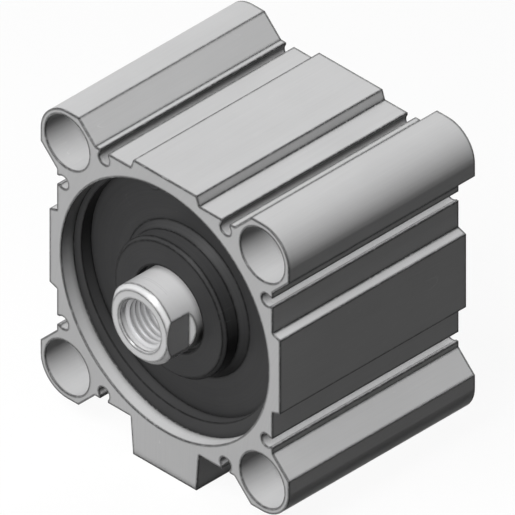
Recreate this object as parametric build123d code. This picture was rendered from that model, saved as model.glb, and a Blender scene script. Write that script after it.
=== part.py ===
from build123d import *
from math import radians, tan
import os

# Compact pneumatic cylinder, 80 mm bore and 20 mm stroke, in millimetres.
# The bore's axis lies along Y. The rod comes out towards -Y, +Z is up, and the port boss is underneath.
# The origin is the centre of the front mounting face, and every length along the axis is counted from it.

# Main sizes: the bore sets the tube's width, and the length sets the stroke, which here is 20 mm
BORE_R = 40.0
LENGTH = 73.5
SEAT_STEP = 1.0
RING_GROOVE_DEEP = 1.75
RING_GROOVE_PLAY = 0.15

# Tube: an extruded profile, the same all the way along
WALL = 2.5
PAD_PROUD = 3.0
PAD_HALF = 12.5
PAD_FLANK = 1.0
BOSS_PROUD = 12.5
BOLT_INSIDE_BORE = 1.5
BOLT_HOLE_R = 5.5
COUNTERBORE_R = 8.75
COUNTERBORE_DEEP = 13.5
CORNER_R = 10.5
RAMP_INSET = 4.5
SLOT_FROM_RAMP = 3.5
SLOT_SUNK = 2.3
SLOT_ROUND_R = 2.1
SLOT_MOUTH = 3.1

# Ports: taper-threaded, each with a drilled way into the bore beside its cover
PORT_R = 8.33
PORT_DEEP = 11.0
PORT_MOUTH_CHAMFER = 1.0
PORT_ASIDE = 2.1
WAY_R = 3.0
WAY_LEAD = 0.4

# Retaining rings: snapped into grooves, widest opposite the gap
RING_THICK = 4.0
RING_GROOVE_SLACK = 0.15
RING_INWARD = 2.8
RING_OFFSET = 1.9
RING_GAP_DEG = 12.0
EAR_DEG = 15.0
EAR_INWARD = 5.6
EAR_R = 3.1
EAR_HOLE_R = 1.6
FRONT_RING_Y = 5.2
BACK_RING_FROM_END = 1.8

# Rod cover, with its boss standing forward around the rod
COVER_THICK = 7.5
COVER_NOSE_GAP = 5.0
COVER_NOSE_LONG = 4.8
ROD_BOSS_Y = 1.6
ROD_BOSS_R = 22.1
ROD_BOSS_CHAMFER = 1.0
ROD_BOSS_FLARE = 2.2
ROD_HOLE_GAP = 1.0
BACK_COVER_THICK = 6.5
BACK_COVER_RIM = 15.0
BACK_COVER_DISH_DEEP = 1.0
EDGE_BREAK = 0.6

# Rod and what guides and seals it
ROD_R = 12.5
ROD_PROUD = 10.0
ROD_CHAMFER = 1.5
ACROSS_FLATS = 22.0
FLATS_LONG = 8.5
ROD_THREAD_R = 8.0
ROD_THREAD_DEEP = 23.0
ROD_THREAD_CHAMFER = 0.5
DRILL_TIP = 4.0
BUSHING_WALL = 1.5
BUSHING_SHOULDER = 0.8
ROD_SEAL_LONG = 5.0
ROD_SEAL_THICK = 4.5
ROD_SEAL_FROM_BOSS = 3.0

# O-rings, drawn squeezed into their grooves
COVER_O_RING_DEEP = 2.4
COVER_O_RING_WIDE = 3.6
COVER_O_RING_FROM_FACE = 1.8
PISTON_O_RING_DEEP = 1.9
PISTON_O_RING_WIDE = 2.6
PISTON_O_RING_FROM_FACE = 5.0

# Bumpers: rings let into both covers, which stop the piston
BUMPER_WIDE = 6.0
BUMPER_INSET = 2.0
BUMPER_SUNK = 2.0
BUMPER_PROUD = 1.0

# Piston: body and end plate with the magnet between them, pulled onto the rod by a countersunk screw
PISTON_GAP = 0.25
PISTON_CHAMFER = 2.0
SPIGOT_R = 9.0
WEAR_RING_WIDE = 2.8
WEAR_RING_THICK = 1.5
WEAR_RING_SLIT = 1.2
WEAR_RING_SLIT_DEG = 45.0
LAND = 0.9
SEAL_WIDE = 4.1
SEAL_DEEP = 4.5
MAGNET_SUNK = 7.0
WASHER_THICK = 0.5
MAGNET_THICK = 3.5
MAGNET_INSET = 1.0
END_PLATE_RIM = 2.4
END_PLATE_HUB_R = 16.0
SCREW_R = 6.0
SCREW_HEAD_R = 11.5
SCREW_SUNK = 0.2
SCREW_REACH = 13.0
SCREW_KEY_FLATS = 8.0
SCREW_KEY_DEEP = 4.0
SCREW_SEAT_WALL = 0.6

# Clearances
SEATED = 0.03
RUNNING = 0.04
LIP_GAP = 0.05
STOP_GAP = 0.05
PLAY = 0.1

# Places across the profile that follow from the sizes above
SEAT_R = BORE_R + SEAT_STEP
FLAT_OUT = BORE_R + WALL
PAD_OUT = FLAT_OUT + PAD_PROUD
PAD_ROOT_HALF = PAD_HALF + PAD_FLANK
BOSS_DROP = FLAT_OUT + BOSS_PROUD
BOLT_AT = BORE_R - BOLT_INSIDE_BORE
HALF_WIDTH = BOLT_AT + CORNER_R
RAMP_TOP = BOLT_AT - RAMP_INSET
RAMP_FOOT = RAMP_TOP - (HALF_WIDTH - FLAT_OUT)
SLOT_FROM_AXIS = RAMP_FOOT - SLOT_FROM_RAMP
SLOT_ROUND_OUT = FLAT_OUT - SLOT_SUNK

# Radii that follow
RING_OUT_R = SEAT_R + RING_GROOVE_DEEP - RING_GROOVE_PLAY
RING_IN_R = SEAT_R - RING_INWARD
EAR_TIP_R = SEAT_R - EAR_INWARD
COVER_NOSE_R = BORE_R - COVER_NOSE_GAP
BACK_COVER_DISH_R = SEAT_R - BACK_COVER_RIM
BUMPER_OUT_R = COVER_NOSE_R - BUMPER_INSET
BUMPER_IN_R = BUMPER_OUT_R - BUMPER_WIDE
PISTON_R = BORE_R - PISTON_GAP
PISTON_RIM_R = PISTON_R - PISTON_CHAMFER
HUB_R = BORE_R - MAGNET_SUNK
BOSS_HOLE_R = ROD_R + ROD_HOLE_GAP
BUSHING_R = ROD_R + BUSHING_WALL
ROD_SEAL_R = ROD_R + ROD_SEAL_THICK

# Places along the axis that follow, first from the front face inwards
COVER_Y = FRONT_RING_Y + RING_THICK
COVER_SEAT_Y = COVER_Y + COVER_THICK
COVER_END_Y = COVER_SEAT_Y + COVER_NOSE_LONG
ROD_SEAL_Y = ROD_BOSS_Y + ROD_SEAL_FROM_BOSS
BUSHING_Y = ROD_SEAL_Y + ROD_SEAL_LONG + BUSHING_SHOULDER
FRONT_WAY_Y = COVER_SEAT_Y + WAY_R + WAY_LEAD
FRONT_PORT_Y = FRONT_WAY_Y - PORT_ASIDE

# Then from the back face inwards, to the piston at the back end of its stroke
BACK_RING_Y = LENGTH - BACK_RING_FROM_END - RING_THICK
BACK_COVER_Y = BACK_RING_Y - BACK_COVER_THICK
BACK_WAY_Y = BACK_COVER_Y - WAY_R - WAY_LEAD
BACK_PORT_Y = BACK_WAY_Y + PORT_ASIDE
PISTON_BACK_Y = BACK_COVER_Y - BUMPER_PROUD - STOP_GAP
END_PLATE_Y = PISTON_BACK_Y - END_PLATE_RIM
MAGNET_Y = END_PLATE_Y - PLAY - WASHER_THICK - MAGNET_THICK
MAGNET_SEAT_Y = MAGNET_Y - WASHER_THICK
PISTON_SEAL_Y = MAGNET_SEAT_Y - LAND - SEAL_WIDE
WEAR_RING_Y = PISTON_SEAL_Y - LAND - WEAR_RING_WIDE
PISTON_FRONT_Y = WEAR_RING_Y - LAND - PISTON_CHAMFER / 2
SCREW_HEAD_Y = PISTON_BACK_Y - SCREW_SUNK
SCREW_CONE_END_Y = SCREW_HEAD_Y - (SCREW_HEAD_R - SCREW_R)
CLAMP_Y = SCREW_CONE_END_Y - SCREW_SEAT_WALL


def turned(*points):
    """A solid turned about the bore's axis, from half-section points of (radius, distance along it)."""
    return revolve(make_face(Polyline(*points, close=True)), Axis.Y)


def ring(in_r, out_r, y0, y1):
    """A plain ring about the bore's axis, or a disc where in_r is 0."""
    return turned((in_r, y0), (out_r, y0), (out_r, y1), (in_r, y1))


def slab(sketch, y0, y1):
    """A sketch drawn in X and Z, extruded along the axis from y0 to y1."""
    return extrude(Plane.XZ.offset(-y0) * sketch, amount=y0 - y1)


def squeezed_ring(in_r, deep, wide, mid_y):
    """An O-ring flattened between its groove and the wall it seals on."""
    near_r = in_r + SEATED
    far_r = in_r + deep - SEATED
    half_wide = wide / 2 - PLAY
    ease_r = deep / 4
    ease_y = half_wide / 2
    return turned(
        (near_r, mid_y - ease_y),
        (near_r + ease_r, mid_y - half_wide),
        (far_r - ease_r, mid_y - half_wide),
        (far_r, mid_y - ease_y),
        (far_r, mid_y + ease_y),
        (far_r - ease_r, mid_y + half_wide),
        (near_r + ease_r, mid_y + half_wide),
        (near_r, mid_y + ease_y),
    )


def profile_quarter():
    """The tube's outline in one quarter: pad, flat, ramp, and the round of the bolt tube."""
    top = Polyline(
        (0, 0),
        (0, PAD_OUT),
        (PAD_HALF, PAD_OUT),
        (PAD_ROOT_HALF, FLAT_OUT),
        (RAMP_FOOT, FLAT_OUT),
        (RAMP_TOP, HALF_WIDTH),
        (BOLT_AT, HALF_WIDTH),
    )
    corner = CenterArc((BOLT_AT, BOLT_AT), CORNER_R, 0, 90)
    side = Polyline(
        (HALF_WIDTH, BOLT_AT),
        (HALF_WIDTH, RAMP_TOP),
        (FLAT_OUT, RAMP_FOOT),
        (FLAT_OUT, PAD_ROOT_HALF),
        (PAD_OUT, PAD_HALF),
        (PAD_OUT, 0),
        (0, 0),
    )
    return make_face(Curve() + [top, corner, side])


def switch_slot():
    """The round-bottomed slot for a position switch, as it lies in the top face."""
    mouth_mid = (SLOT_ROUND_OUT + HALF_WIDTH) / 2
    mouth = Pos(SLOT_FROM_AXIS, mouth_mid) * Rectangle(SLOT_MOUTH, HALF_WIDTH - SLOT_ROUND_OUT)
    return Pos(SLOT_FROM_AXIS, SLOT_ROUND_OUT) * Circle(SLOT_ROUND_R) + mouth


def tube_profile():
    """The whole section of the extrusion, before it is bored."""
    quarter = profile_quarter()
    half = quarter + mirror(quarter, Plane.YZ)
    whole = half + mirror(half, Plane.XZ)
    boss = make_face(
        Polyline(
            (-PAD_HALF, -BOSS_DROP),
            (PAD_HALF, -BOSS_DROP),
            (PAD_ROOT_HALF, -FLAT_OUT),
            (PAD_ROOT_HALF, -BORE_R),
            (-PAD_ROOT_HALF, -BORE_R),
            (-PAD_ROOT_HALF, -FLAT_OUT),
            close=True,
        )
    )
    whole += boss
    slot = switch_slot()
    for turn in (0, 90, 180, 270):
        whole -= Rot(0, 0, turn) * slot
        whole -= Rot(0, 0, turn) * mirror(slot, Plane.YZ)
    return whole


def port(y, way_y):
    """A threaded port from below, its mouth chamfer, and the way drilled on into the bore."""
    floor = -BOSS_DROP + PORT_DEEP
    hole = Pos(0, y, (floor - BOSS_DROP) / 2) * Cylinder(PORT_R, PORT_DEEP)
    mouth_mid = -BOSS_DROP + PORT_MOUTH_CHAMFER / 2
    mouth = Pos(0, y, mouth_mid) * Cone(PORT_R + PORT_MOUTH_CHAMFER, PORT_R, PORT_MOUTH_CHAMFER)
    way_top = -BORE_R + PISTON_CHAMFER
    way = Pos(0, way_y, (floor + way_top) / 2) * Cylinder(WAY_R, way_top - floor)
    return hole + mouth + way


def cylinder_tube():
    """The extruded tube: bored, seated and grooved for both covers, and drilled for bolts and ports."""
    tube = slab(tube_profile(), 0, LENGTH)
    groove_r = SEAT_R + RING_GROOVE_DEEP
    tube -= ring(0, BORE_R, 0, LENGTH)
    tube -= ring(0, SEAT_R, 0, COVER_SEAT_Y)
    tube -= ring(0, SEAT_R, BACK_COVER_Y, LENGTH)
    tube -= ring(0, groove_r, FRONT_RING_Y, FRONT_RING_Y + RING_THICK + RING_GROOVE_SLACK)
    tube -= ring(0, groove_r, BACK_RING_Y - RING_GROOVE_SLACK, BACK_RING_Y + RING_THICK)
    for x in (-BOLT_AT, BOLT_AT):
        for z in (-BOLT_AT, BOLT_AT):
            place = Pos(x, z)
            tube -= slab(place * Circle(BOLT_HOLE_R), 0, LENGTH)
            tube -= slab(place * Circle(COUNTERBORE_R), 0, COUNTERBORE_DEEP)
            tube -= slab(place * Circle(COUNTERBORE_R), LENGTH - COUNTERBORE_DEEP, LENGTH)
    tube -= port(FRONT_PORT_Y, FRONT_WAY_Y)
    tube -= port(BACK_PORT_Y, BACK_WAY_Y)
    return tube


def retaining_ring(y0):
    """A retaining ring: a tapering band, open on top, with a drilled ear on each side of the gap."""
    outer = Circle(RING_OUT_R)
    band = outer - Pos(0, RING_OFFSET) * Circle(RING_IN_R)
    reach = 2 * RING_OUT_R
    gap_half = reach * tan(radians(RING_GAP_DEG))
    band -= make_face(Polyline((0, 0), (-gap_half, reach), (gap_half, reach), close=True))
    ear_r = EAR_TIP_R + EAR_R
    neck_long = RING_OUT_R - ear_r
    ear = Pos(0, ear_r) * Circle(EAR_R) + Pos(0, ear_r + neck_long / 2) * Rectangle(2 * EAR_R, neck_long)
    for turn in (-EAR_DEG, EAR_DEG):
        band += Rot(0, 0, turn) * ear & outer
        band -= Rot(0, 0, turn) * Pos(0, ear_r) * Circle(EAR_HOLE_R)
    return slab(band, y0, y0 + RING_THICK)


def bumper_groove(y0, y1):
    """The groove that a bumper is pressed into."""
    return ring(BUMPER_IN_R, BUMPER_OUT_R, y0, y1)


def bumper(y0, y1):
    """A bumper ring, with its corners eased on the outside."""
    in_r = BUMPER_IN_R + SEATED
    out_r = BUMPER_OUT_R - SEATED
    return turned(
        (in_r, y0 + EDGE_BREAK),
        (in_r + EDGE_BREAK, y0),
        (out_r - EDGE_BREAK, y0),
        (out_r, y0 + EDGE_BREAK),
        (out_r, y1 - EDGE_BREAK),
        (out_r - EDGE_BREAK, y1),
        (in_r + EDGE_BREAK, y1),
        (in_r, y1 - EDGE_BREAK),
    )


def rod_cover():
    """The front cover: a disc with a nose inwards and a chamfered, flared boss around the rod."""
    out_r = SEAT_R - SEATED
    flare_y = COVER_Y - ROD_BOSS_FLARE
    cover = turned(
        (BOSS_HOLE_R, ROD_BOSS_Y),
        (ROD_BOSS_R - ROD_BOSS_CHAMFER, ROD_BOSS_Y),
        (ROD_BOSS_R, ROD_BOSS_Y + ROD_BOSS_CHAMFER),
        (ROD_BOSS_R, flare_y),
        (ROD_BOSS_R + ROD_BOSS_FLARE, COVER_Y),
        (out_r, COVER_Y),
        (out_r, COVER_SEAT_Y),
        (COVER_NOSE_R, COVER_SEAT_Y),
        (COVER_NOSE_R, COVER_END_Y - EDGE_BREAK),
        (COVER_NOSE_R - EDGE_BREAK, COVER_END_Y),
        (BUSHING_R, COVER_END_Y),
        (BUSHING_R, BUSHING_Y),
        (BOSS_HOLE_R, BUSHING_Y),
    )
    cover -= ring(0, ROD_SEAL_R, ROD_SEAL_Y, ROD_SEAL_Y + ROD_SEAL_LONG)
    cover -= o_ring_groove(COVER_Y)
    cover -= bumper_groove(COVER_END_Y - BUMPER_SUNK, COVER_END_Y)
    return cover


def o_ring_groove(cover_y):
    """The groove around a cover's edge, for its O-ring."""
    groove_y = cover_y + COVER_O_RING_FROM_FACE
    return ring(SEAT_R - COVER_O_RING_DEEP, SEAT_R, groove_y, groove_y + COVER_O_RING_WIDE)


def cover_o_ring(cover_y):
    """The O-ring between a cover and the tube."""
    mid_y = cover_y + COVER_O_RING_FROM_FACE + COVER_O_RING_WIDE / 2
    return squeezed_ring(SEAT_R - COVER_O_RING_DEEP, COVER_O_RING_DEEP, COVER_O_RING_WIDE, mid_y)


def back_cover():
    """The back cover: a plain disc, dished on the outside, with a bumper groove inside."""
    out_r = SEAT_R - SEATED
    out_y = BACK_COVER_Y + BACK_COVER_THICK
    cover = turned(
        (0, BACK_COVER_Y),
        (out_r, BACK_COVER_Y),
        (out_r, out_y),
        (BACK_COVER_DISH_R + BACK_COVER_DISH_DEEP, out_y),
        (BACK_COVER_DISH_R, out_y - BACK_COVER_DISH_DEEP),
        (0, out_y - BACK_COVER_DISH_DEEP),
    )
    cover -= o_ring_groove(BACK_COVER_Y)
    cover -= bumper_groove(BACK_COVER_Y, BACK_COVER_Y + BUMPER_SUNK)
    return cover


def rod_bushing():
    """The plain bearing that guides the rod, pressed into the cover from inside."""
    in_r, out_r = ROD_R + RUNNING, BUSHING_R - SEATED
    return turned(
        (in_r + EDGE_BREAK, BUSHING_Y),
        (out_r, BUSHING_Y),
        (out_r, COVER_END_Y),
        (in_r + EDGE_BREAK, COVER_END_Y),
        (in_r, COVER_END_Y - EDGE_BREAK),
        (in_r, BUSHING_Y + EDGE_BREAK),
    )


def rod_seal():
    """The rod seal: a wiper lip in front, a pressure lip behind, and a notch that lets air open it."""
    y0, y1 = ROD_SEAL_Y + PLAY, ROD_SEAL_Y + ROD_SEAL_LONG - PLAY
    lip_r, out_r = ROD_R + LIP_GAP, ROD_SEAL_R - SEATED
    waist_r = ROD_R + ROD_SEAL_THICK / 5
    notch_r = (waist_r + out_r) / 2
    lip_long = ROD_SEAL_LONG / 5
    return turned(
        (waist_r, y0),
        (out_r, y0),
        (out_r, y1),
        (out_r - ROD_SEAL_THICK / 6, y1),
        (notch_r + PLAY, y1 - 2 * lip_long),
        (notch_r - PLAY, y1 - 2 * lip_long),
        (waist_r, y1),
        (lip_r, y1 - lip_long / 2),
        (waist_r, y1 - 2 * lip_long),
        (waist_r, y0 + lip_long),
        (lip_r, y0 + lip_long / 2),
    )


def piston_rod():
    """The rod: two flats and a threaded hole at its end, and a spigot that carries the piston."""
    spigot_end = CLAMP_Y - PLAY
    key_hole_r = SCREW_R + LIP_GAP
    rod = turned(
        (0, -ROD_PROUD),
        (ROD_R - ROD_CHAMFER, -ROD_PROUD),
        (ROD_R, ROD_CHAMFER - ROD_PROUD),
        (ROD_R, PISTON_FRONT_Y),
        (SPIGOT_R, PISTON_FRONT_Y),
        (SPIGOT_R, spigot_end),
        (0, spigot_end),
    )
    hole_end = ROD_THREAD_DEEP - ROD_PROUD
    mouth_r = ROD_THREAD_R + ROD_THREAD_CHAMFER
    rod -= turned(
        (0, -ROD_PROUD),
        (mouth_r, -ROD_PROUD),
        (ROD_THREAD_R, ROD_THREAD_CHAMFER - ROD_PROUD),
        (ROD_THREAD_R, hole_end),
        (0, hole_end + DRILL_TIP),
    )
    tap_end = CLAMP_Y - SCREW_REACH - DRILL_TIP
    rod -= turned((0, tap_end), (key_hole_r, tap_end + DRILL_TIP), (key_hole_r, spigot_end), (0, spigot_end))
    waste = ROD_R - ACROSS_FLATS / 2
    for side in (-1, 1):
        x = side * (ACROSS_FLATS / 2 + waste / 2)
        rod -= slab(Pos(x, 0) * Rectangle(waste, 2 * ROD_R), -ROD_PROUD, FLATS_LONG - ROD_PROUD)
    return rod


def piston_body():
    """The piston's main part: grooves for wear ring and seal, and the hub that carries the magnet."""
    bore_r = SPIGOT_R + SEATED
    body = turned(
        (bore_r, PISTON_FRONT_Y),
        (PISTON_RIM_R, PISTON_FRONT_Y),
        (PISTON_R, PISTON_FRONT_Y + PISTON_CHAMFER / 2),
        (PISTON_R, MAGNET_SEAT_Y),
        (HUB_R, MAGNET_SEAT_Y),
        (HUB_R, END_PLATE_Y),
        (END_PLATE_HUB_R + SEATED, END_PLATE_Y),
        (END_PLATE_HUB_R + SEATED, CLAMP_Y),
        (bore_r, CLAMP_Y),
    )
    body -= ring(PISTON_R - WEAR_RING_THICK, BORE_R, WEAR_RING_Y, WEAR_RING_Y + WEAR_RING_WIDE)
    body -= ring(BORE_R - SEAL_DEEP, BORE_R, PISTON_SEAL_Y, PISTON_SEAL_Y + SEAL_WIDE)
    groove_y = PISTON_FRONT_Y + PISTON_O_RING_FROM_FACE
    body -= ring(0, SPIGOT_R + PISTON_O_RING_DEEP, groove_y, groove_y + PISTON_O_RING_WIDE)
    return body


def piston_end_plate():
    """The plate that closes the magnet in, with a hub let into the piston and a countersink for the screw."""
    sunk_r = SCREW_HEAD_R + SCREW_SUNK + SEATED
    shank_r = SCREW_R + PLAY
    return turned(
        (shank_r, CLAMP_Y),
        (END_PLATE_HUB_R, CLAMP_Y),
        (END_PLATE_HUB_R, END_PLATE_Y),
        (PISTON_R, END_PLATE_Y),
        (PISTON_R, PISTON_BACK_Y - PISTON_CHAMFER),
        (PISTON_RIM_R, PISTON_BACK_Y),
        (sunk_r, PISTON_BACK_Y),
        (shank_r, PISTON_BACK_Y - (sunk_r - shank_r)),
    )


def magnet_ring():
    """The ring magnet that a position switch in one of the slots senses."""
    return ring(HUB_R + SEATED, PISTON_R - MAGNET_INSET, MAGNET_Y, MAGNET_Y + MAGNET_THICK)


def magnet_washer(y0):
    """A rubber washer that keeps the magnet from rattling."""
    return ring(HUB_R + SEATED, PISTON_R - MAGNET_INSET, y0, y0 + WASHER_THICK)


def piston_seal():
    """The double-acting piston seal, with a lip for each side."""
    y0, y1 = PISTON_SEAL_Y + PLAY, PISTON_SEAL_Y + SEAL_WIDE - PLAY
    in_r, lip_r = BORE_R - SEAL_DEEP + SEATED, BORE_R - LIP_GAP
    heel_r = lip_r - SEAL_DEEP / 3
    lip_wide = SEAL_WIDE / 8
    return turned(
        (in_r, y0),
        (heel_r, y0),
        (lip_r, y0 + lip_wide),
        (heel_r, y0 + 3 * lip_wide),
        (heel_r, y1 - 3 * lip_wide),
        (lip_r, y1 - lip_wide),
        (heel_r, y1),
        (in_r, y1),
    )


def wear_ring():
    """The split guide ring that keeps the piston's metal off the bore."""
    in_r, out_r = PISTON_R - WEAR_RING_THICK + SEATED, BORE_R - LIP_GAP
    band = ring(in_r, out_r, WEAR_RING_Y + PLAY, WEAR_RING_Y + WEAR_RING_WIDE - PLAY)
    mid_y = WEAR_RING_Y + WEAR_RING_WIDE / 2
    cut_long = 3 * WEAR_RING_WIDE
    slit = Rot(0, 0, WEAR_RING_SLIT_DEG) * Box(WEAR_RING_SLIT, cut_long, 4 * WEAR_RING_THICK)
    return band - Pos(0, mid_y, (in_r + out_r) / 2) * slit


def piston_o_ring():
    """The O-ring that stops air leaking along the spigot."""
    mid_y = PISTON_FRONT_Y + PISTON_O_RING_FROM_FACE + PISTON_O_RING_WIDE / 2
    return squeezed_ring(SPIGOT_R, PISTON_O_RING_DEEP, PISTON_O_RING_WIDE, mid_y)


def piston_screw():
    """The countersunk screw with a hexagon key hole that holds the piston on the rod."""
    screw = turned(
        (0, SCREW_HEAD_Y),
        (SCREW_HEAD_R, SCREW_HEAD_Y),
        (SCREW_R, SCREW_CONE_END_Y),
        (SCREW_R, CLAMP_Y - SCREW_REACH),
        (0, CLAMP_Y - SCREW_REACH),
    )
    key = RegularPolygon(SCREW_KEY_FLATS / 2, 6, major_radius=False)
    return screw - slab(key, SCREW_HEAD_Y - SCREW_KEY_DEEP, SCREW_HEAD_Y)


def all_parts():
    """Every piece by its name."""
    return {
        "cylinder_tube": cylinder_tube(),
        "rod_cover": rod_cover(),
        "rod_cover_o_ring": cover_o_ring(COVER_Y),
        "front_retaining_ring": retaining_ring(FRONT_RING_Y),
        "rod_bushing": rod_bushing(),
        "rod_seal": rod_seal(),
        "front_bumper": bumper(COVER_END_Y - BUMPER_SUNK, COVER_END_Y + BUMPER_PROUD),
        "back_cover": back_cover(),
        "back_cover_o_ring": cover_o_ring(BACK_COVER_Y),
        "back_retaining_ring": retaining_ring(BACK_RING_Y),
        "back_bumper": bumper(BACK_COVER_Y - BUMPER_PROUD, BACK_COVER_Y + BUMPER_SUNK),
        "piston_rod": piston_rod(),
        "piston_body": piston_body(),
        "piston_end_plate": piston_end_plate(),
        "magnet_ring": magnet_ring(),
        "front_magnet_washer": magnet_washer(MAGNET_SEAT_Y),
        "back_magnet_washer": magnet_washer(MAGNET_Y + MAGNET_THICK),
        "piston_seal": piston_seal(),
        "wear_ring": wear_ring(),
        "piston_o_ring": piston_o_ring(),
        "piston_screw": piston_screw(),
    }


os.makedirs("parts", exist_ok=True)
for name, piece in all_parts().items():
    export_step(piece, f"parts/{name}.step")
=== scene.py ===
import logging
import math
from collections.abc import Iterable
from dataclasses import dataclass, field
from enum import Enum

import bmesh
import bpy
from mathutils import Matrix, Vector


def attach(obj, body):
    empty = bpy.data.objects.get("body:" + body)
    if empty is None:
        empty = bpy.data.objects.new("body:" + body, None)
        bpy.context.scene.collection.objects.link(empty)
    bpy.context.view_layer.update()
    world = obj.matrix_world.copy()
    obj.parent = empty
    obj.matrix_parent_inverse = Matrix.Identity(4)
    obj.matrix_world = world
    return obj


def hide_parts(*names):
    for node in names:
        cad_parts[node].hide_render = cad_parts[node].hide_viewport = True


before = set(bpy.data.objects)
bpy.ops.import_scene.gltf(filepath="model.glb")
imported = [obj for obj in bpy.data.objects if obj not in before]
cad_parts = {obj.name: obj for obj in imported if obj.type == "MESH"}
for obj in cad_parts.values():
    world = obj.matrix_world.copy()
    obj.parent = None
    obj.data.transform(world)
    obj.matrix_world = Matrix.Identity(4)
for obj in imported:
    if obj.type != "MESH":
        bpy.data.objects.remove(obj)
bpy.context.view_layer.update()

log = logging.getLogger("compact_cylinder")

Colour = tuple[float, float, float]
Place = tuple[float, float, float]

BLACK: Colour = (0.0, 0.0, 0.0)
WHITE: Colour = (1.0, 1.0, 1.0)
UPWARD: Place = (0.0, 0.0, 1.0)
REARWARD: Place = (0.0, 1.0, 0.0)
SQUARE_CORNERS = ((-1, -1), (1, -1), (1, 1), (-1, 1))


def put(name: str, data: bpy.types.ID) -> bpy.types.Object:
    """Makes an object and links it into the scene.

    Args:
        name: the object's name.
        data: its mesh, lamp or camera.

    Returns:
        The object.
    """
    made = bpy.data.objects.new(name, data)
    bpy.context.scene.collection.objects.link(made)
    return made


class Lay(Enum):
    """The way that the tool marks of a surface run."""

    DRAWN_ALONG_BORE = "drawn"
    TURNED_ABOUT_BORE = "turned"
    MOULDED = "moulded"


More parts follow.
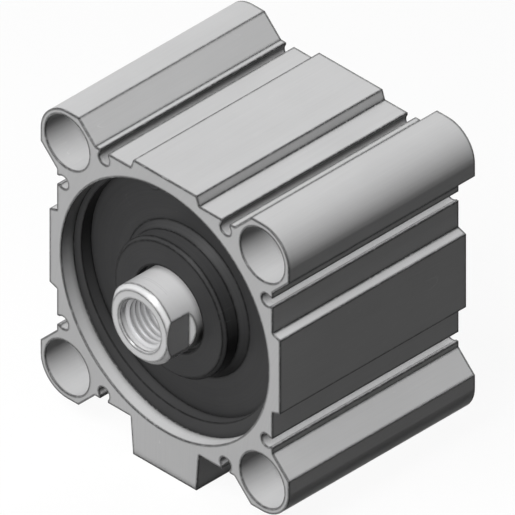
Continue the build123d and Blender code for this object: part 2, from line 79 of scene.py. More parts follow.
class NodeSheet:
    """A node tree with short ways to add nodes and join them."""

    def __init__(self, tree: bpy.types.NodeTree) -> None:
        """Wraps a tree.

        Args:
            tree: the material's or the group's node tree.
        """
        self.tree = tree

    def add(self, kind: str, **settings: object) -> bpy.types.Node:
        """Adds a node.

        Args:
            kind: the node's Blender type.
            settings: properties of the node, by name.

        Returns:
            The new node.
        """
        node = self.tree.nodes.new(kind)
        for name, value in settings.items():
            setattr(node, name, value)
        return node

    def join(self, out: bpy.types.NodeSocket, into: bpy.types.NodeSocket) -> None:
        """Links one socket to another."""
        self.tree.links.new(out, into)

    def feed(self, socket: bpy.types.NodeSocket, value: object) -> None:
        """Sets a socket, or links it where the value is a socket too.

        Args:
            socket: the socket.
            value: a number, a colour with its alpha, or another socket.
        """
        if isinstance(value, bpy.types.NodeSocket):
            self.join(value, socket)
        else:
            socket.default_value = value

    @staticmethod
    def typed(sockets: Iterable[bpy.types.NodeSocket], name: str, kind: str) -> bpy.types.NodeSocket:
        """Finds one of a Mix node's sockets, which share their names, by its type."""
        return next(socket for socket in sockets if socket.name == name and socket.type == kind)

    def maths(
        self, operation: str, first: object, second: object = 0.0, clamp: bool = False
    ) -> bpy.types.NodeSocket:
        """Adds a Math node.

        Args:
            operation: what it does, in Blender's name for it.
            first: the first number or socket.
            second: the second number or socket.
            clamp: whether the result is kept between 0 and 1.

        Returns:
            The result's socket.
        """
        node = self.add("ShaderNodeMath", operation=operation, use_clamp=clamp)
        self.feed(node.inputs[0], first)
        self.feed(node.inputs[1], second)
        return node.outputs[0]

    def blend(self, share: object, first: object, second: object) -> bpy.types.NodeSocket:
        """Blends two colours.

        Args:
            share: how much of the second colour shows.
            first: a colour or socket.
            second: a colour or socket.

        Returns:
            The blended colour's socket.
        """
        node = self.add("ShaderNodeMix", data_type="RGBA")
        self.feed(node.inputs["Factor"], share)
        for name, value in (("A", first), ("B", second)):
            colour = (*value, 1.0) if isinstance(value, tuple) else value
            self.feed(self.typed(node.inputs, name, "RGBA"), colour)
        return self.typed(node.outputs, "Result", "RGBA")

    def weigh(self, first: object, share: float, second: object) -> bpy.types.NodeSocket:
        """Adds two values by their shares.

        Args:
            first: a number or socket.
            share: how much of the first goes in; the rest is of the second.
            second: a number or socket.

        Returns:
            The sum's socket.
        """
        of_first = self.maths("MULTIPLY", first, share)
        return self.maths("ADD", of_first, self.maths("MULTIPLY", second, 1.0 - share))

    def noise(self, place: bpy.types.NodeSocket, scale: object, detail: float) -> bpy.types.NodeSocket:
        """Adds a noise texture.

        Args:
            place: the coordinates.
            scale: its scale, per metre.
            detail: its octaves.

        Returns:
            The socket of its value, from 0 to 1.
        """
        node = self.add("ShaderNodeTexNoise")
        self.join(place, node.inputs["Vector"])
        self.feed(node.inputs["Scale"], scale)
        node.inputs["Detail"].default_value = detail
        return node.outputs["Fac"]

    def spread(
        self,
        value: bpy.types.NodeSocket,
        low: float,
        high: float,
        to_low: float = 0.0,
        to_high: float = 1.0,
    ) -> bpy.types.NodeSocket:
        """Maps a range of a value onto another, without going past its ends.

        Args:
            value: the value's socket.
            low: the value that becomes to_low.
            high: the value that becomes to_high.
            to_low: the result at the low end.
            to_high: the result at the high end.

        Returns:
            The result's socket.
        """
        node = self.add("ShaderNodeMapRange")
        self.join(value, node.inputs["Value"])
        limits = {"From Min": low, "From Max": high, "To Min": to_low, "To Max": to_high}
        for name, number in limits.items():
            node.inputs[name].default_value = number
        return node.outputs["Result"]

    def glow(self, kind: str, strength: float) -> bpy.types.NodeSocket:
        """Adds a node that shines white.

        Args:
            kind: the node's Blender type, for a surface or for the world.
            strength: how strongly it shines, where 1 is white.

        Returns:
            Its shader's socket.
        """
        node = self.add(kind)
        node.inputs["Color"].default_value = (*WHITE, 1.0)
        node.inputs["Strength"].default_value = strength
        return node.outputs[0]

    def matt(self, grey: float) -> bpy.types.NodeSocket:
        """Adds a matt grey surface.

        Args:
            grey: how light it is.

        Returns:
            Its shader's socket.
        """
        node = self.add("ShaderNodeBsdfDiffuse")
        node.inputs["Color"].default_value = (grey, grey, grey, 1.0)
        return node.outputs[0]

    def mix_shaders(
        self, share: bpy.types.NodeSocket, first: bpy.types.NodeSocket, second: bpy.types.NodeSocket
    ) -> bpy.types.NodeSocket:
        """Mixes two shaders.

        Args:
            share: how much of the second shows.
            first: a shader's socket.
            second: a shader's socket.

        Returns:
            The mixed shader's socket.
        """
        node = self.add("ShaderNodeMixShader")
        for socket, source in zip(node.inputs, (share, first, second)):
            self.join(source, socket)
        return node.outputs[0]


class Effect:
    """A shared surface effect, kept as a shader node group."""

    name: str = ""
    numbers: dict[str, float] = {}
    results: dict[str, str] = {}

    def draw(self, sheet: NodeSheet, given: bpy.types.Node, made: bpy.types.Node) -> None:
        """Draws the effect's nodes; each effect has its own way."""
        raise NotImplementedError

    def group(self) -> bpy.types.NodeTree:
        """Builds the group the first time, and finds it after that.

        Returns:
            The node group.
        """
        tree = bpy.data.node_groups.get(self.name)
        if tree:
            return tree
        tree = bpy.data.node_groups.new(self.name, "ShaderNodeTree")
        for name, number in self.numbers.items():
            socket = tree.interface.new_socket(name, in_out="INPUT", socket_type="NodeSocketFloat")
            socket.default_value = number
        for name, kind in self.results.items():
            tree.interface.new_socket(name, in_out="OUTPUT", socket_type=kind)
        sheet = NodeSheet(tree)
        self.draw(sheet, sheet.add("NodeGroupInput"), sheet.add("NodeGroupOutput"))
        return tree

    def place(self, sheet: NodeSheet, **numbers: float) -> bpy.types.Node:
        """Places the effect in a material.

        Args:
            sheet: the material's nodes.
            numbers: the effect's inputs, with an underscore for each space.

        Returns:
            The group node.
        """
        node = sheet.add("ShaderNodeGroup")
        node.node_tree = self.group()
        for name, number in numbers.items():
            sheet.feed(node.inputs[name.replace("_", " ")], number)
        return node


class DrawnLines(Effect):
    """Fine lines along the bore's axis, as an extrusion die leaves them."""

    name = "drawn_lines"
    numbers = {"Lines Per Metre": 2500.0, "Length": 0.02}
    results = {"Height": "NodeSocketFloat"}
    coarse_lines: float = 0.17
    fine_share: float = 0.6

    def draw(self, sheet: NodeSheet, given: bpy.types.Node, made: bpy.types.Node) -> None:
        """Stretches noise along Y, coarse lines over fine ones.

        Args:
            sheet: the group's nodes.
            given: the group's input node.
            made: the group's output node.
        """
        place = sheet.add("ShaderNodeTexCoord").outputs["Object"]
        squeeze = sheet.add("ShaderNodeVectorMath", operation="MULTIPLY")
        along = sheet.add("ShaderNodeCombineXYZ")
        along.inputs["X"].default_value = 1.0
        along.inputs["Z"].default_value = 1.0
        sheet.join(given.outputs["Length"], along.inputs["Y"])
        sheet.join(place, squeeze.inputs[0])
        sheet.join(along.outputs[0], squeeze.inputs[1])
        lines = given.outputs["Lines Per Metre"]
        fine = sheet.noise(squeeze.outputs[0], lines, 2.0)
        coarse = sheet.noise(squeeze.outputs[0], sheet.maths("MULTIPLY", lines, self.coarse_lines), 2.0)
        sheet.join(sheet.weigh(fine, self.fine_share, coarse), made.inputs["Height"])


class TurnedLines(Effect):
    """Fine rings about the bore's axis, as a lathe tool leaves them."""

    name = "turned_lines"
    numbers = {"Lines Per Metre": 3500.0}
    results = {"Height": "NodeSocketFloat"}
    coarse_lines: float = 0.12
    fine_share: float = 0.7

    def draw(self, sheet: NodeSheet, given: bpy.types.Node, made: bpy.types.Node) -> None:
        """Reads noise along the distance from the axis and along the axis.

        Args:
            sheet: the group's nodes.
            given: the group's input node.
            made: the group's output node.
        """
        place = sheet.add("ShaderNodeTexCoord").outputs["Object"]
        parts = sheet.add("ShaderNodeSeparateXYZ")
        sheet.join(place, parts.inputs[0])
        across = (parts.outputs["X"], parts.outputs["Z"])
        squares = [sheet.maths("MULTIPLY", side, side) for side in across]
        radius = sheet.maths("SQRT", sheet.maths("ADD", *squares))
        spot = sheet.add("ShaderNodeCombineXYZ")
        sheet.join(radius, spot.inputs["X"])
        sheet.join(parts.outputs["Y"], spot.inputs["Y"])
        lines = given.outputs["Lines Per Metre"]
        fine = sheet.noise(spot.outputs[0], lines, 1.0)
        coarse = sheet.noise(spot.outputs[0], sheet.maths("MULTIPLY", lines, self.coarse_lines), 1.0)
        sheet.join(sheet.weigh(fine, self.fine_share, coarse), made.inputs["Height"])


class SawnFace(Effect):
    """Shallow arcs on the faces square to the bore, as a facing cutter leaves them."""

    name = "sawn_face"
    numbers = {"Lines Per Metre": 1600.0}
    results = {"Height": "NodeSocketFloat", "Mask": "NodeSocketFloat"}
    cutter_centre: Place = (0.16, 0.0, -0.05)
    square_on: tuple[float, float] = (0.97, 0.995)

    def draw(self, sheet: NodeSheet, given: bpy.types.Node, made: bpy.types.Node) -> None:
        """Reads noise by the distance from the cutter's centre, and masks the end faces.

        Args:
            sheet: the group's nodes.
            given: the group's input node.
            made: the group's output node.
        """
        place = sheet.add("ShaderNodeTexCoord").outputs["Object"]
        away = sheet.add("ShaderNodeVectorMath", operation="DISTANCE")
        sheet.join(place, away.inputs[0])
        away.inputs[1].default_value = self.cutter_centre
        spot = sheet.add("ShaderNodeCombineXYZ")
        sheet.join(away.outputs["Value"], spot.inputs["X"])
        arcs = sheet.noise(spot.outputs[0], given.outputs["Lines Per Metre"], 2.0)
        sheet.join(arcs, made.inputs["Height"])
        facing = sheet.add("ShaderNodeSeparateXYZ")
        sheet.join(sheet.add("ShaderNodeNewGeometry").outputs["True Normal"], facing.inputs[0])
        along_bore = sheet.maths("ABSOLUTE", facing.outputs["Y"])
        sheet.join(sheet.spread(along_bore, *self.square_on), made.inputs["Mask"])


class FineGrain(Effect):
    """The fine etched grain under an anodised or phosphated surface, with slow changes of tone."""

    name = "fine_grain"
    numbers = {"Grain Per Metre": 9000.0, "Cloud Per Metre": 35.0}
    results = {"Height": "NodeSocketFloat", "Tone": "NodeSocketFloat"}
    clouds: tuple[float, float] = (0.3, 0.7)

    def draw(self, sheet: NodeSheet, given: bpy.types.Node, made: bpy.types.Node) -> None:
        """Lays fine noise for the grain and wide noise for the tone.

        Args:
            sheet: the group's nodes.
            given: the group's input node.
            made: the group's output node.
        """
        place = sheet.add("ShaderNodeTexCoord").outputs["Object"]
        sheet.join(sheet.noise(place, given.outputs["Grain Per Metre"], 2.0), made.inputs["Height"])
        cloud = sheet.noise(place, given.outputs["Cloud Per Metre"], 4.0)
        sheet.join(sheet.spread(cloud, *self.clouds), made.inputs["Tone"])


class HandlingMarks(Effect):
    """Smudges and a few short scratches, where the part has been held and set down."""

    name = "handling_marks"
    numbers = {"Smudge Per Metre": 60.0, "Scratch Per Metre": 420.0}
    results = {"Smudge": "NodeSocketFloat", "Scratch": "NodeSocketFloat"}
    smudged: tuple[float, float] = (0.45, 0.75)
    scratch_turn: Place = (0.5, 0.9, 0.4)
    scratch_stretch: Place = (1.0, 0.06, 0.35)
    scratch_width: float = 0.004
    scratched_spots: tuple[float, float] = (0.58, 0.66)
    spots_per_metre: float = 90.0

    def draw(self, sheet: NodeSheet, given: bpy.types.Node, made: bpy.types.Node) -> None:
        """Cuts thin lines out of stretched noise, and lets them show only in a few places.

        Args:
            sheet: the group's nodes.
            given: the group's input node.
            made: the group's output node.
        """
        place = sheet.add("ShaderNodeTexCoord").outputs["Object"]
        smudge = sheet.noise(place, given.outputs["Smudge Per Metre"], 5.0)
        sheet.join(sheet.spread(smudge, *self.smudged), made.inputs["Smudge"])
        turn = sheet.add("ShaderNodeMapping")
        sheet.join(place, turn.inputs["Vector"])
        turn.inputs["Rotation"].default_value = self.scratch_turn
        turn.inputs["Scale"].default_value = self.scratch_stretch
        line = sheet.noise(turn.outputs[0], given.outputs["Scratch Per Metre"], 1.0)
        off_middle = sheet.maths("ABSOLUTE", sheet.maths("SUBTRACT", line, 0.5))
        thin = sheet.spread(off_middle, 0.0, self.scratch_width, 1.0, 0.0)
        few = sheet.spread(sheet.noise(place, self.spots_per_metre, 2.0), *self.scratched_spots)
        sheet.join(sheet.maths("MULTIPLY", thin, few), made.inputs["Scratch"])


class BrokenEdge(Effect):
    """Edges with a small radius, a mask of the thin line along them where shade is painted, and one of the
    nicks along them.
    """

    name = "broken_edge"
    numbers = {"Reach": 0.0009, "Nicks Per Metre": 800.0}
    results = {"Line": "NodeSocketFloat", "Nick": "NodeSocketFloat", "Normal": "NodeSocketVector"}
    samples: int = 6
    line_at: tuple[float, float] = (0.996, 0.975)
    rounding: float = 0.5
    nicked_spots: tuple[float, float] = (0.56, 0.64)

    def draw(self, sheet: NodeSheet, given: bpy.types.Node, made: bpy.types.Node) -> None:
        """Compares a rounded normal with the plain one, and breaks the line up for the nicks.

        Args:
            sheet: the group's nodes.
            given: the group's input node.
            made: the group's output node.
        """
        rounded = sheet.add("ShaderNodeBevel", samples=self.samples)
        sheet.join(given.outputs["Reach"], rounded.inputs["Radius"])
        plain = sheet.add("ShaderNodeNewGeometry").outputs["Normal"]
        compare = sheet.add("ShaderNodeVectorMath", operation="DOT_PRODUCT")
        sheet.join(rounded.outputs[0], compare.inputs[0])
        sheet.join(plain, compare.inputs[1])
        line = sheet.spread(compare.outputs["Value"], *self.line_at)
        turned = sheet.add("ShaderNodeMix", data_type="VECTOR")
        sheet.join(sheet.maths("MULTIPLY", line, self.rounding), turned.inputs["Factor"])
        sheet.join(plain, sheet.typed(turned.inputs, "A", "VECTOR"))
        sheet.join(rounded.outputs[0], sheet.typed(turned.inputs, "B", "VECTOR"))
        place = sheet.add("ShaderNodeTexCoord").outputs["Object"]
        knocks = sheet.noise(place, given.outputs["Nicks Per Metre"], 4.0)
        spots = sheet.spread(knocks, *self.nicked_spots)
        sheet.join(line, made.inputs["Line"])
        sheet.join(sheet.maths("MULTIPLY", line, spots), made.inputs["Nick"])
        sheet.join(sheet.typed(turned.outputs, "Result", "VECTOR"), made.inputs["Normal"])


class PaintedCreviceShade(Effect):
    """Painted shade in slots, grooves and inner corners, where little light reaches, as a mask."""

    name = "painted_crevice_shade"
    numbers = {"Reach": 0.0025, "Blots Per Metre": 160.0}
    results = {"Mask": "NodeSocketFloat"}
    samples: int = 6
    shut_in: tuple[float, float] = (0.80, 0.45)
    blotted: tuple[float, float] = (0.3, 0.7)
    thinnest: float = 0.75

    def draw(self, sheet: NodeSheet, given: bpy.types.Node, made: bpy.types.Node) -> None:
        """Measures how shut in each spot is, and lets the painted shade thin out here and there at random.

        Args:
            sheet: the group's nodes.
            given: the group's input node.
            made: the group's output node.
        """
        shut = sheet.add("ShaderNodeAmbientOcclusion", samples=self.samples)
        sheet.join(given.outputs["Reach"], shut.inputs["Distance"])
        deep = sheet.spread(shut.outputs["AO"], *self.shut_in)
        place = sheet.add("ShaderNodeTexCoord").outputs["Object"]
        shade_breakup = sheet.noise(place, given.outputs["Blots Per Metre"], 3.0)
        blots = sheet.spread(shade_breakup, *self.blotted, self.thinnest, 1.0)
        sheet.join(sheet.maths("MULTIPLY", deep, blots), made.inputs["Mask"])


@dataclass(frozen=True)
class Finish:
    """How one of the cylinder's surfaces is made and coated. Lengths are in metres.

    Smudges and tool marks add to a roughness that starts by below_mean under the finish's own.
    thrown_back is the share of its light that the surface throws onto other faces.
    """

    name: str
    colour: Colour
    shade: Colour
    metallic: float
    roughness: float
    lay: Lay
    lines: float = 2500.0
    line_depth: float = 0.000006
    grain: float = 9000.0
    grain_depth: float = 0.000004
    specular: float = 0.5
    coat: float = 0.0
    coat_roughness: float = 0.25
    streaked: float = 0.5
    streaks: tuple[float, float] = (0.3, 0.7)
    smudge_roughness: float = 0.10
    line_roughness: float = 0.08
    below_mean: float = 0.04
    edge_reach: float = 0.0009
    # painted_edge_shade darkens a thin line along every edge, convex and concave, with painted shade
    painted_edge_shade: float = 0.0
    painted_edge_shade_colour: Colour = (0.05, 0.05, 0.05)
    # painted_shade darkens slots, grooves and inner corners with painted shade, found by ambient occlusion
    painted_shade: float = 0.5
    painted_shade_reach: float = 0.0025
    painted_shade_colour: Colour = (0.03, 0.03, 0.03)
    worn: float = 0.0
    worn_colour: Colour = (0.7, 0.7, 0.7)
    faced_ends: bool = False
    scratched: float = 0.3
    thrown_back: float = 1.0

    def material(self) -> bpy.types.Material:
        """Builds the material the first time, and finds it after that.

        Returns:
            The material.
        """
        made = bpy.data.materials.get(self.name)
        if made:
            return made
        made = bpy.data.materials.new(self.name)
        made.use_nodes = True
        made.diffuse_color = (*self.colour, 1.0)
        sheet = NodeSheet(made.node_tree)
        made.node_tree.nodes.clear()
        shader = sheet.add("ShaderNodeBsdfPrincipled")
        out = sheet.add("ShaderNodeOutputMaterial")
        sheet.join(shader.outputs["BSDF"], out.inputs["Surface"])
        shader.inputs["Metallic"].default_value = self.metallic
        shader.inputs["Specular IOR Level"].default_value = self.specular
        shader.inputs["Coat Weight"].default_value = self.coat
        shader.inputs["Coat Roughness"].default_value = self.coat_roughness
        self._dress(sheet, shader)
        return made

    def _lines(self, sheet: NodeSheet) -> bpy.types.NodeSocket:
        """Places the tool marks that the lay asks for.

        Args:
            sheet: the material's nodes.

        Returns:
            The socket of their height.
        """
        if self.lay is Lay.TURNED_ABOUT_BORE:
            return TurnedLines().place(sheet, Lines_Per_Metre=self.lines).outputs["Height"]
        if self.lay is Lay.DRAWN_ALONG_BORE:
            return DrawnLines().place(sheet, Lines_Per_Metre=self.lines).outputs["Height"]
        return FineGrain().place(sheet, Grain_Per_Metre=self.lines).outputs["Height"]

    def _dress(self, sheet: NodeSheet, shader: bpy.types.Node) -> None:
        """Joins the effects to the shader.

        Args:
            sheet: the material's nodes.
            shader: its Principled node.
        """
        grain = FineGrain().place(sheet, Grain_Per_Metre=self.grain)
        marks = HandlingMarks().place(sheet)
        edge = BrokenEdge().place(sheet, Reach=self.edge_reach)
        lines = self._lines(sheet)
        if self.faced_ends:
            faced = SawnFace().place(sheet)
            apart = sheet.add("ShaderNodeMix", data_type="FLOAT")
            sheet.join(faced.outputs["Mask"], apart.inputs["Factor"])
            sheet.join(lines, apart.inputs["A"])
            sheet.join(faced.outputs["Height"], apart.inputs["B"])
            lines = apart.outputs["Result"]
        streak = sheet.spread(lines, *self.streaks)
        tone = sheet.weigh(streak, self.streaked, grain.outputs["Tone"])
        colour = sheet.blend(tone, self.shade, self.colour)
        # Painted shade: a dark colour blended in where ambient occlusion finds slots, grooves and inner
        # corners
        painted_shade = PaintedCreviceShade().place(sheet, Reach=self.painted_shade_reach)
        layers = (
            (painted_shade.outputs["Mask"], self.painted_shade, self.painted_shade_colour),
            # Painted shade: a thin dark line blended in along every edge, convex and concave
            (edge.outputs["Line"], self.painted_edge_shade, self.painted_edge_shade_colour),
            (edge.outputs["Nick"], self.worn, self.worn_colour),
            (marks.outputs["Scratch"], self.scratched, self.worn_colour),
        )
        for mask, strength, laid in layers:
            colour = sheet.blend(sheet.maths("MULTIPLY", mask, strength), colour, laid)
        if self.thrown_back < 1.0:
            path = sheet.add("ShaderNodeLightPath")
            kept_back = sheet.maths("MULTIPLY", path.outputs["Is Diffuse Ray"], 1.0 - self.thrown_back)
            colour = sheet.blend(kept_back, colour, BLACK)
        sheet.join(colour, shader.inputs["Base Color"])
        smudge = sheet.maths("MULTIPLY", marks.outputs["Smudge"], self.smudge_roughness)
        rough = sheet.maths("ADD", smudge, self.roughness - self.below_mean)
        rough = sheet.maths("ADD", rough, sheet.maths("MULTIPLY", lines, self.line_roughness), clamp=True)
        sheet.join(rough, shader.inputs["Roughness"])
        normal = edge.outputs["Normal"]
        for height, depth in ((lines, self.line_depth), (grain.outputs["Height"], self.grain_depth)):
            bump = sheet.add("ShaderNodeBump")
            bump.inputs["Distance"].default_value = depth
            sheet.join(height, bump.inputs["Height"])
            sheet.join(normal, bump.inputs["Normal"])
            normal = bump.outputs["Normal"]
        sheet.join(normal, shader.inputs["Normal"])


ANODISED_BODY = Finish(
    "anodised_body", (0.625, 0.625, 0.628), (0.56, 0.56, 0.563), 0.03, 0.44, Lay.DRAWN_ALONG_BORE,
    lines=2200.0, line_depth=0.000020, specular=0.04, edge_reach=0.0012, painted_edge_shade=0.92,
    painted_edge_shade_colour=(0.015, 0.015, 0.015), painted_shade=0.95, painted_shade_reach=0.0035, painted_shade_colour=(0.015, 0.015, 0.015),
    worn=0.2, worn_colour=(0.85, 0.85, 0.85), faced_ends=True, thrown_back=0.35,
)
DARK_COVER = Finish(
    "dark_anodised_cover", (0.062, 0.062, 0.063), (0.046, 0.046, 0.047), 0.03, 0.42, Lay.TURNED_ABOUT_BORE,
    lines=2200.0, line_depth=0.000020, specular=0.07, edge_reach=0.0012, painted_edge_shade=0.92,
    painted_edge_shade_colour=(0.003, 0.003, 0.003), painted_shade=0.7, painted_shade_colour=(0.008, 0.008, 0.008),
    worn=0.08, worn_colour=(0.22, 0.22, 0.22),
)
BLACK_RING = Finish(
    "phosphated_ring", (0.066, 0.066, 0.067), (0.050, 0.050, 0.051), 0.05, 0.50, Lay.MOULDED,
    lines=5000.0, line_depth=0.000006, specular=0.15, painted_edge_shade=0.92, painted_edge_shade_colour=(0.003, 0.003, 0.003),
    painted_shade=0.6, painted_shade_colour=(0.008, 0.008, 0.008), worn=0.08, worn_colour=(0.22, 0.22, 0.22),
)
CHROMED_ROD = Finish(
    "hard_chromed_rod", (0.72, 0.72, 0.725), (0.67, 0.67, 0.675), 0.08, 0.28, Lay.TURNED_ABOUT_BORE,
    lines=4200.0, line_depth=0.000004, grain_depth=0.000001, coat=0.2, edge_reach=0.0011, painted_edge_shade=0.92,
    painted_edge_shade_colour=(0.015, 0.015, 0.015), worn=0.2, worn_colour=(0.9, 0.9, 0.9), scratched=0.15,
    thrown_back=0.4,
)
BEARING_BRONZE = Finish(
    "bearing_bronze", (0.52, 0.36, 0.17), (0.40, 0.27, 0.12), 0.8, 0.42, Lay.TURNED_ABOUT_BORE,
)
SEAL_RUBBER = Finish(
    "seal_rubber", (0.030, 0.030, 0.031), (0.022, 0.022, 0.023), 0.0, 0.55, Lay.MOULDED,
    lines=3000.0, line_depth=0.000008, specular=0.35, scratched=0.0,
)
BUMPER_RESIN = Finish(
    "bumper_resin", (0.20, 0.155, 0.085), (0.16, 0.12, 0.065), 0.0, 0.48, Lay.MOULDED,
    lines=2500.0, coat=0.1, scratched=0.0,
)
TURNED_PISTON = Finish(
    "chromated_piston", (0.62, 0.60, 0.52), (0.55, 0.53, 0.45), 0.8, 0.34, Lay.TURNED_ABOUT_BORE,
    worn=0.3, worn_colour=(0.8, 0.8, 0.78),
)
FERRITE = Finish(
    "ferrite_magnet", (0.060, 0.060, 0.062), (0.045, 0.045, 0.047), 0.1, 0.6, Lay.MOULDED, lines=4000.0,
)
GUIDE_RESIN = Finish(
    "guide_ring_resin", (0.11, 0.105, 0.10), (0.085, 0.08, 0.078), 0.0, 0.5, Lay.MOULDED, lines=3500.0,
)
BLACK_SCREW = Finish(
    "black_oxide_screw", (0.070, 0.068, 0.070), (0.050, 0.050, 0.052), 0.6, 0.4, Lay.TURNED_ABOUT_BORE,
    worn=0.5, worn_colour=(0.35, 0.35, 0.35),
)
CUT_THREAD_STEEL = Finish(
    "cut_thread_steel", (0.66, 0.66, 0.67), (0.54, 0.54, 0.55), 0.15, 0.34, Lay.TURNED_ABOUT_BORE,
    scratched=0.0, thrown_back=0.3,
)
CUT_THREAD_ALUMINIUM = Finish(
    "cut_thread_aluminium", (0.56, 0.56, 0.57), (0.46, 0.46, 0.47), 0.5, 0.4, Lay.MOULDED,
    scratched=0.0, thrown_back=0.3,
)


def dress(node: str, finish: Finish) -> None:
    """Gives a carried-over node its material.

    Args:
        node: the node's name.
        finish: its finish.
    """
    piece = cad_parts[node]
    piece.data.materials.clear()
    piece.data.materials.append(finish.material())
    log.info("%s: %s", node, finish.name)


@dataclass
class InternalThread:
    """A thread cut in a hole, as one ridge that winds inwards from the hole's wall.

    Lengths are in metres, and the shares of the pitch are those of a common 60 degree thread.
    """

    name: str
    body: str
    slot: str
    mouth: Place
    into: Place
    wall_r: float
    crest_r: float
    pitch: float
    length: float
    finish: Finish
    steps: int = 72
    sunk: float = 0.00003
    half_foot_share: float = 7 / 16
    half_crest_share: float = 1 / 8
    run_out_turns: float = 0.5
    least_height: float = 0.02

    def build(self) -> bpy.types.Object:
        """Winds the ridge, dresses it and lets it ride.

        Returns:
            The thread's object.
        """
        turn = Vector(self.into).to_track_quat("Z", "Y").to_matrix().to_4x4()
        place = Matrix.Translation(Vector(self.mouth)) @ turn
        shape = bmesh.new()
        count = int(self.steps * self.length / self.pitch)
        rings = [self._section(shape, place, step, count) for step in range(count + 1)]
        for before, after in zip(rings, rings[1:]):
            for side in range(4):
                after_side = (side + 1) % 4
                shape.faces.new((before[side], before[after_side], after[after_side], after[side]))
        shape.faces.new(rings[0])
        shape.faces.new(tuple(reversed(rings[-1])))
        bmesh.ops.recalc_face_normals(shape, faces=shape.faces)
        mesh = bpy.data.meshes.new(self.name)
        shape.to_mesh(mesh)
        shape.free()
        mesh.materials.append(self.finish.material())
        thread = put(self.name, mesh)
        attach(thread, self.body)
        log.info("%s: %d turns", self.name, round(self.length / self.pitch))
        return thread

    def _section(self, shape: bmesh.types.BMesh, place: Matrix, step: int, count: int) -> tuple:
        """Makes the ridge's four corners at one step.

        Args:
            shape: the mesh that they go into.
            place: where the hole's mouth and axis are.
            step: which step along the ridge.
            count: the number of steps.

        Returns:
            The four corners.
        """
        angle = 2 * math.pi * step / self.steps
        along = self.pitch * step / self.steps
        run_out_steps = self.steps * self.run_out_turns
        height = max(self.least_height, min(1.0, step / run_out_steps, (count - step) / run_out_steps))
        crest = self.wall_r - height * (self.wall_r - self.crest_r)
        foot = self.wall_r + self.sunk
        half_foot, half_crest = self.pitch * self.half_foot_share, self.pitch * self.half_crest_share
        corners = (
            (foot, along - half_foot),
            (crest, along - half_crest),
            (crest, along + half_crest),
            (foot, along + half_foot),
        )
        return tuple(
            shape.verts.new(place @ Vector((r * math.cos(angle), r * math.sin(angle), z + half_foot)))
            for r, z in corners
        )


@dataclass
class Barrel:
    """The body with its covers, rings, seals and ports, which stays still."""

    body: str = "barrel"
    front_port: Place = (0.0, 0.018, -0.0541)
    back_port: Place = (0.0, 0.0599, -0.0541)
    port_wall_r: float = 0.00833
    port_crest_r: float = 0.00748
    port_pitch: float = 0.001337
    port_thread_long: float = 0.0088
    finishes: dict[str, Finish] = field(
        default_factory=lambda: {
            "cylinder_tube": ANODISED_BODY,
            "rod_cover": DARK_COVER,
            "back_cover": DARK_COVER,
            "front_retaining_ring": BLACK_RING,
            "back_retaining_ring": BLACK_RING,
            "rod_cover_o_ring": SEAL_RUBBER,
            "back_cover_o_ring": SEAL_RUBBER,
            "rod_seal": SEAL_RUBBER,
            "rod_bushing": BEARING_BRONZE,
            "front_bumper": BUMPER_RESIN,
            "back_bumper": BUMPER_RESIN,
        }
    )

    def build(self) -> None:
        """Dresses the barrel and cuts the ports' threads."""
        for node, finish in self.finishes.items():
            dress(node, finish)
        ports = {"front_port_thread": self.front_port, "back_port_thread": self.back_port}
        for name, mouth in ports.items():
            InternalThread(
                name, self.body, "body", mouth, UPWARD, self.port_wall_r, self.port_crest_r,
                self.port_pitch, self.port_thread_long, CUT_THREAD_ALUMINIUM,
            ).build()


@dataclass
class RodAndPiston:
    """The rod with its threaded end, and the piston it pushes."""

    body: str = "piston_and_rod"
    thread_mouth: Place = (0.0, -0.0096, 0.0)
    thread_wall_r: float = 0.008
    thread_crest_r: float = 0.00692
    thread_pitch: float = 0.002
    thread_long: float = 0.020
    flat_x: float = 0.011
    flat_end_y: float = -0.0015
    slack: float = 0.00001
    finishes: dict[str, Finish] = field(
        default_factory=lambda: {
            "piston_rod": CHROMED_ROD,
            "piston_body": TURNED_PISTON,
            "piston_end_plate": TURNED_PISTON,
            "magnet_ring": FERRITE,
            "front_magnet_washer": SEAL_RUBBER,
            "back_magnet_washer": SEAL_RUBBER,
            "piston_o_ring": SEAL_RUBBER,
            "piston_screw": BLACK_SCREW,
            "piston_seal": SEAL_RUBBER,
            "wear_ring": GUIDE_RESIN,
        }
    )

    def build(self) -> None:
        """Dresses the rod and piston, mills the rod's flats and cuts the thread in its end."""
        for node, finish in self.finishes.items():
            dress(node, finish)
        self._milled_rod()
        InternalThread(
            "rod_end_thread", self.body, "rod", self.thread_mouth, REARWARD, self.thread_wall_r,
            self.thread_crest_r, self.thread_pitch, self.thread_long, CUT_THREAD_STEEL,
        ).build()

    def _milled_rod(self) -> bpy.types.Object:
        """Makes the rod again, with the 45 degree slopes that the cutter leaves at its flats' inner ends.

        Returns:
            The rod's object, which stands for the plain solid.
        """
        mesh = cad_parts["piston_rod"].data.copy()
        mesh.name = "milled_rod"
        normals = [Vector(corner.vector) for corner in mesh.corner_normals]
        step = {
            spot.index
            for spot in mesh.vertices
            if abs(spot.co.y - self.flat_end_y) < self.slack
            and abs(spot.co.x) > self.flat_x - self.slack
        }
        for face in mesh.polygons:
            if step.issuperset(face.vertices):
                slope = Vector((math.copysign(1.0, face.center.x), -1.0, 0.0)).normalized()
                for corner in face.loop_indices:
                    normals[corner] = slope
        for index in step:
            spot = mesh.vertices[index].co
            spot.y += abs(spot.x) - self.flat_x
        mesh.normals_split_custom_set(normals)
        mesh.materials.clear()
        mesh.materials.append(CHROMED_ROD.material())
        rod = put("milled_rod", mesh)
        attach(rod, self.body)
        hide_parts("piston_rod")
        log.info("milled_rod: %d corners at the ends of its flats", len(step))
        return rod


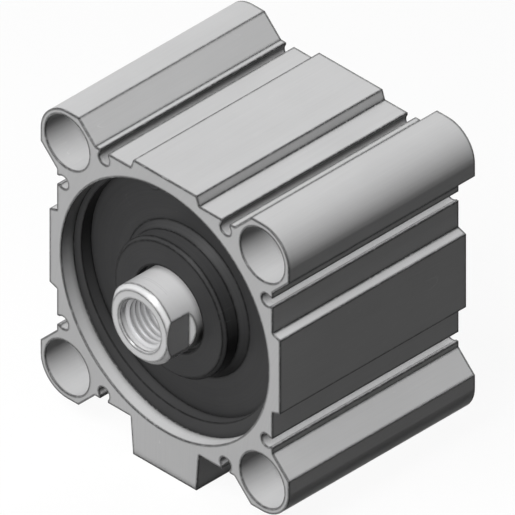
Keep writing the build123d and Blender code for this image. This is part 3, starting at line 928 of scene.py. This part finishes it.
@dataclass(frozen=True)
class Lamp:
    """A square lamp that faces the object. Lengths are in metres, its power in watts."""

    name: str
    place: Place
    side: float
    power: float
    throws_shadows: bool = True

    def hang(self, middle: Vector) -> None:
        """Hangs the lamp.

        Args:
            middle: the point that it faces.
        """
        light = bpy.data.lights.new(self.name, "AREA")
        light.shape = "SQUARE"
        light.size = self.side
        light.energy = self.power
        light.use_shadow = self.throws_shadows
        lamp = put(self.name, light)
        lamp.location = self.place
        lamp.rotation_euler = (Vector(self.place) - middle).to_track_quat("Z", "Y").to_euler()
        log.info("%s hangs at %s", self.name, self.place)


@dataclass
class Studio:
    """The floor, lamps and camera. Lengths are in metres."""

    azimuth: float = 45.0
    elevation: float = 35.264
    view_width: float = 0.1438
    view_right: float = 0.0259
    view_up: float = 0.01505
    camera_away: float = 1.2
    camera_nearest: float = 0.01
    camera_furthest: float = 50.0
    floor_z: float = -0.0551
    floor_half: float = 6.0
    floor_glow: float = 0.64
    floor_shown: float = 0.36
    floor_bounce: float = 0.015
    fade_from: float = 0.25
    fade_to: float = 1.4
    world_fill: float = 0.01
    middle: Place = (0.0, 0.035, 0.0)
    lamps: tuple[Lamp, ...] = (
        Lamp("key_lamp", (-0.18, -2.4, 3.5), 2.7, 30.0),
        Lamp("even_lamp", (0.24, -2.4, 3.5), 1.2, 184.0, throws_shadows=False),
        Lamp("back_left_lamp", (-1.3, 2.5, 0.15), 0.4, 40.0),
    )

    def build(self) -> None:
        """Sets the stage up."""
        self._camera()
        self._world()
        self._floor()
        for lamp in self.lamps:
            lamp.hang(Vector(self.middle))
        bpy.context.scene.view_settings.view_transform = "Standard"

    def _camera(self) -> None:
        """Puts a parallel camera where the photograph was drawn from."""
        around, above = math.radians(self.azimuth), math.radians(self.elevation)
        level = math.cos(above)
        back = Vector((math.sin(around) * level, -math.cos(around) * level, math.sin(above)))
        right = Vector((math.cos(around), math.sin(around), 0.0))
        up = back.cross(right)
        lens = bpy.data.cameras.new("photo_camera")
        lens.type = "ORTHO"
        lens.ortho_scale = self.view_width
        lens.clip_start = self.camera_nearest
        lens.clip_end = self.camera_furthest
        camera = put("photo_camera", lens)
        camera.location = right * self.view_right + up * self.view_up + back * self.camera_away
        camera.rotation_euler = back.to_track_quat("Z", "Y").to_euler()
        bpy.context.scene.camera = camera

    @staticmethod
    def _seen(sheet: NodeSheet) -> bpy.types.NodeSocket:
        """Finds the rays that see the background as it is: the camera's, and those in gloss and glass.

        Args:
            sheet: the material's or the world's nodes.

        Returns:
            The socket that is 1 for those rays and 0 for all others.
        """
        path = sheet.add("ShaderNodeLightPath")
        either = sheet.maths("MAXIMUM", path.outputs["Is Camera Ray"], path.outputs["Is Glossy Ray"])
        return sheet.maths("MAXIMUM", either, path.outputs["Is Transmission Ray"])

    def _world(self) -> None:
        """Puts white behind the object, and a weak even light on it."""
        world = bpy.data.worlds.new("studio_world")
        bpy.context.scene.world = world
        world.use_nodes = True
        sheet = NodeSheet(world.node_tree)
        world.node_tree.nodes.clear()
        out = sheet.add("ShaderNodeOutputWorld")
        fill = sheet.glow("ShaderNodeBackground", self.world_fill)
        white = sheet.glow("ShaderNodeBackground", 1.0)
        sheet.join(sheet.mix_shaders(self._seen(sheet), fill, white), out.inputs["Surface"])

    def _floor(self) -> None:
        """Lays a pale floor that keeps a soft shadow, throws little light back up and fades to white."""
        shape = bmesh.new()
        half = self.floor_half
        corners = [shape.verts.new((x * half, y * half, self.floor_z)) for x, y in SQUARE_CORNERS]
        shape.faces.new(corners)
        mesh = bpy.data.meshes.new("studio_floor")
        shape.to_mesh(mesh)
        shape.free()
        floor = put("studio_floor", mesh)
        material = bpy.data.materials.new("studio_floor")
        material.use_nodes = True
        sheet = NodeSheet(material.node_tree)
        material.node_tree.nodes.clear()
        out = sheet.add("ShaderNodeOutputMaterial")
        near = sheet.add("ShaderNodeAddShader")
        sheet.join(sheet.glow("ShaderNodeEmission", self.floor_glow), near.inputs[0])
        sheet.join(sheet.matt(self.floor_shown), near.inputs[1])
        away = sheet.add("ShaderNodeVectorMath", operation="LENGTH")
        sheet.join(sheet.add("ShaderNodeTexCoord").outputs["Object"], away.inputs[0])
        fading = sheet.spread(away.outputs["Value"], self.fade_from, self.fade_to)
        shown = sheet.mix_shaders(fading, near.outputs[0], sheet.glow("ShaderNodeEmission", 1.0))
        bounce = sheet.matt(self.floor_bounce)
        sheet.join(sheet.mix_shaders(self._seen(sheet), bounce, shown), out.inputs["Surface"])
        mesh.materials.append(material)


def main() -> None:
    """Builds the stage and every sub-assembly in order."""
    logging.basicConfig(level=logging.INFO, format="%(name)s: %(message)s")
    assemblies: Iterable[Studio | Barrel | RodAndPiston] = (Studio(), Barrel(), RodAndPiston())
    for assembly in assemblies:
        assembly.build()
        log.info("%s is in place", type(assembly).__name__)


if __name__ == "__main__":
    main()
